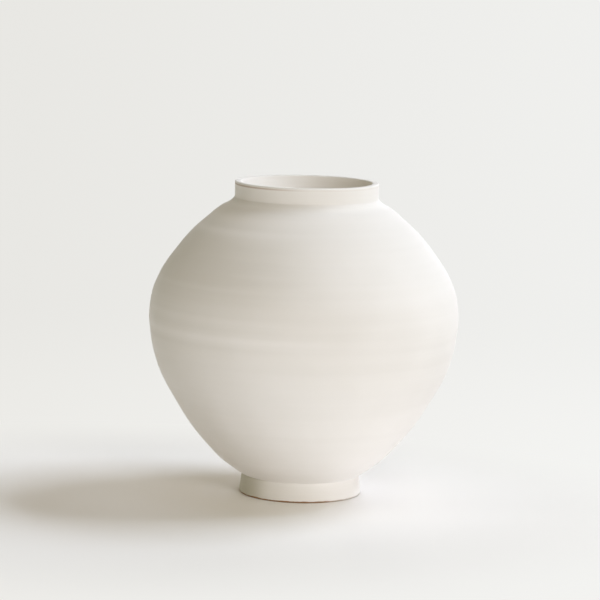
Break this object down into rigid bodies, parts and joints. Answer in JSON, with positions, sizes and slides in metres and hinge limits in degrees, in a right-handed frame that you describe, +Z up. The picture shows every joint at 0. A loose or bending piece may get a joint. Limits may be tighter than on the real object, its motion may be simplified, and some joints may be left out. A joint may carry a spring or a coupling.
{
  "type": "incense jar",
  "caption": "Round porcelain jar with an upright collar and a ring foot that holds incense sticks in a lift-out metal cup of ash.",
  "frame": {"origin": "centre of the foot ring's bottom plane, where the jar's axis meets the surface it stands on", "axes": "+Z up along the jar's axis of revolution, out through the mouth; the jar is round, so X and Y are free"},
  "size_m": [0.15, 0.15, 0.152],
  "materials": {
    "jar_glaze": "matte",
    "foot_glaze": "matte",
    "inner_glaze": "matte",
    "cup_brass": "satin",
    "incense_ash": "matte"
  },
  "bodies": {
    "jar": {"foot_ring": "foot_glaze", "lower_bowl": "jar_glaze", "seam_coil": "inner_glaze", "upper_bowl": "jar_glaze", "neck_collar": "jar_glaze"},
    "ash_cup": {"ash_liner": "cup_brass", "ash_bed": "incense_ash"}
  },
  "joints": [
    {"name": "cup_lift", "type": "slide", "parent": "jar", "child": "ash_cup", "axis": [0, 0, 1], "range_m": [0, 0.145]}
  ]
}
